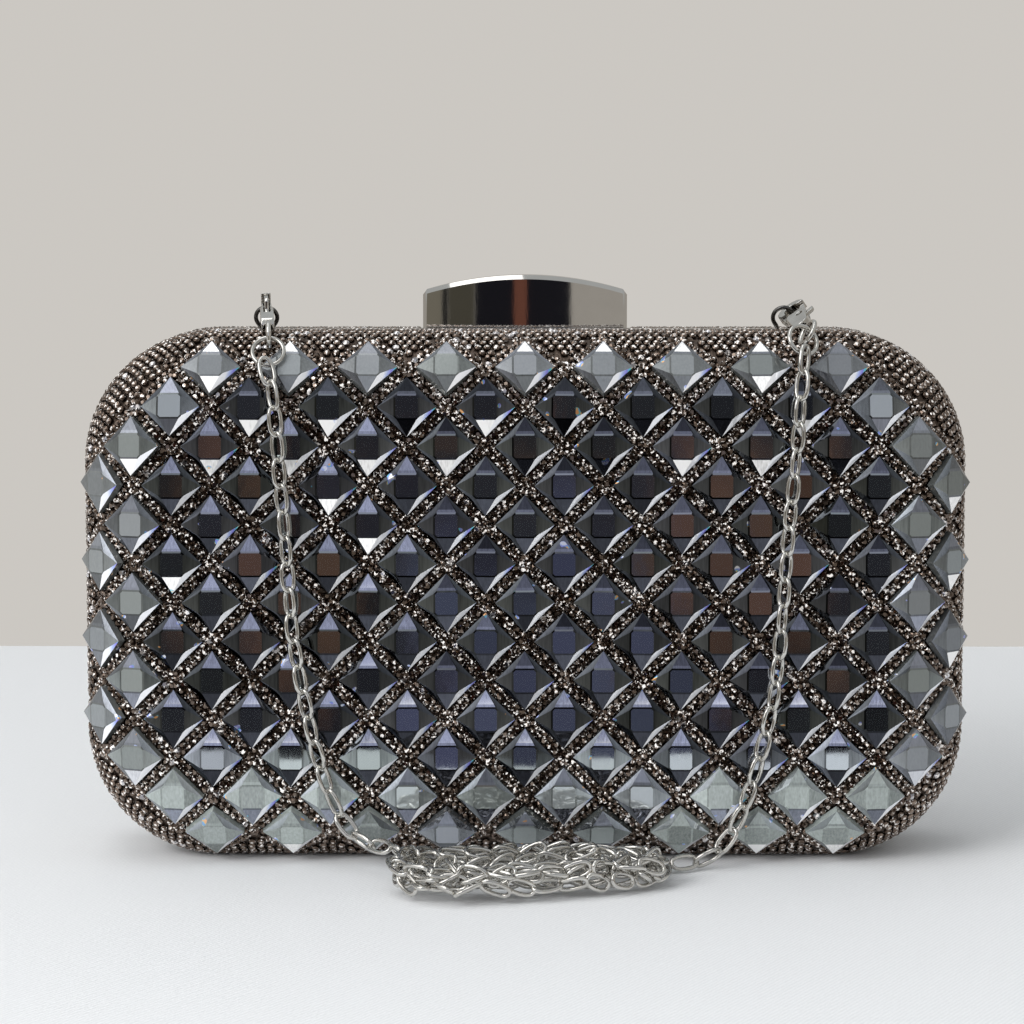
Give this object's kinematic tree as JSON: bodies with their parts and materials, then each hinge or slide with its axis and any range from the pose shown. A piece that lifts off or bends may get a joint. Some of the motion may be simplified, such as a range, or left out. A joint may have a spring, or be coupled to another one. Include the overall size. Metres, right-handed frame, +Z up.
{
  "type": "clutch bag",
  "caption": "Hard-shell evening clutch with rounded corners, faceted square crystals on the front, a curved clasp button on top and a detachable link chain lying in front.",
  "frame": {"origin": "on the table under the middle of the case, on the seam side of the front frame", "axes": "+X across the bag to the right as seen from the front, +Y from the crystal front to the back, +Z up"},
  "size_m": [0.201, 0.0909, 0.1327],
  "materials": {
    "crystal_cover": "rhinestone mesh set with grey mirror-backed faceted glass squares",
    "rhinestone_mesh": "close-set small rhinestones on a dark bronze backing",
    "shell": "moulded black plastic",
    "frame": "polished silver plating",
    "lining": "dark satin on card",
    "dark_chrome": "bright dark chrome plating",
    "nickel": "polished nickel plating",
    "steel": "plain bright steel"
  },
  "bodies": {
    "front_half": {"front_cover": "crystal_cover", "front_shell": "shell", "front_frame": "frame", "front_lining": "lining", "strike_plate": "steel", "strike_rivet_left": "steel", "strike_rivet_right": "steel", "hinge_pin_left": "steel", "hinge_pin_right": "steel", "chain_loop_left": "dark_chrome", "chain_loop_right": "dark_chrome", "claw_body_left": "nickel", "claw_body_right": "nickel", "claw_pin_left": "steel", "claw_pin_right": "steel", "claw_swivel_left": "nickel", "claw_swivel_right": "nickel", "jump_ring_left": "nickel", "jump_ring_right": "nickel", "chain_left_run": "nickel", "chain_pile": "nickel", "chain_right_run": "nickel"},
    "rear_half": {"rear_cover": "rhinestone_mesh", "rear_shell": "shell", "rear_frame": "frame", "rear_lining": "lining", "latch_spring": "steel", "latch_screw_left": "steel", "latch_screw_right": "steel"},
    "clasp_button": {"clasp_button": "dark_chrome"},
    "claw_lever_left": {"claw_lever_left": "nickel"},
    "claw_lever_right": {"claw_lever_right": "nickel"}
  },
  "joints": [
    {"name": "rear_hinge", "type": "hinge", "parent": "front_half", "child": "rear_half", "pos_m": [0, 0.0011, 0.0012], "axis": [-1, 0, 0], "range_deg": [0, 90], "deforming": ["latch_spring"]},
    {"name": "clasp_press", "type": "slide", "parent": "rear_half", "child": "clasp_button", "axis": [0, 0, -1], "range_m": [0, 0.001], "stiffness_N_per_m": 400, "springref_m": -0.003, "deforming": ["latch_spring"]},
    {"name": "left_lever", "type": "hinge", "parent": "front_half", "child": "claw_lever_left", "pos_m": [-0.05843, -0.00943, 0.12401], "axis": [-0.9948, -0.097, -0.0326], "range_deg": [0, 9], "stiffness_Nm_per_rad": 0.0002, "springref_deg": -5.73},
    {"name": "right_lever", "type": "hinge", "parent": "front_half", "child": "claw_lever_right", "pos_m": [0.06275, -0.00901, 0.1233], "axis": [-0.566, -0.2494, 0.7858], "range_deg": [0, 9], "stiffness_Nm_per_rad": 0.0002, "springref_deg": -5.73}
  ]
}
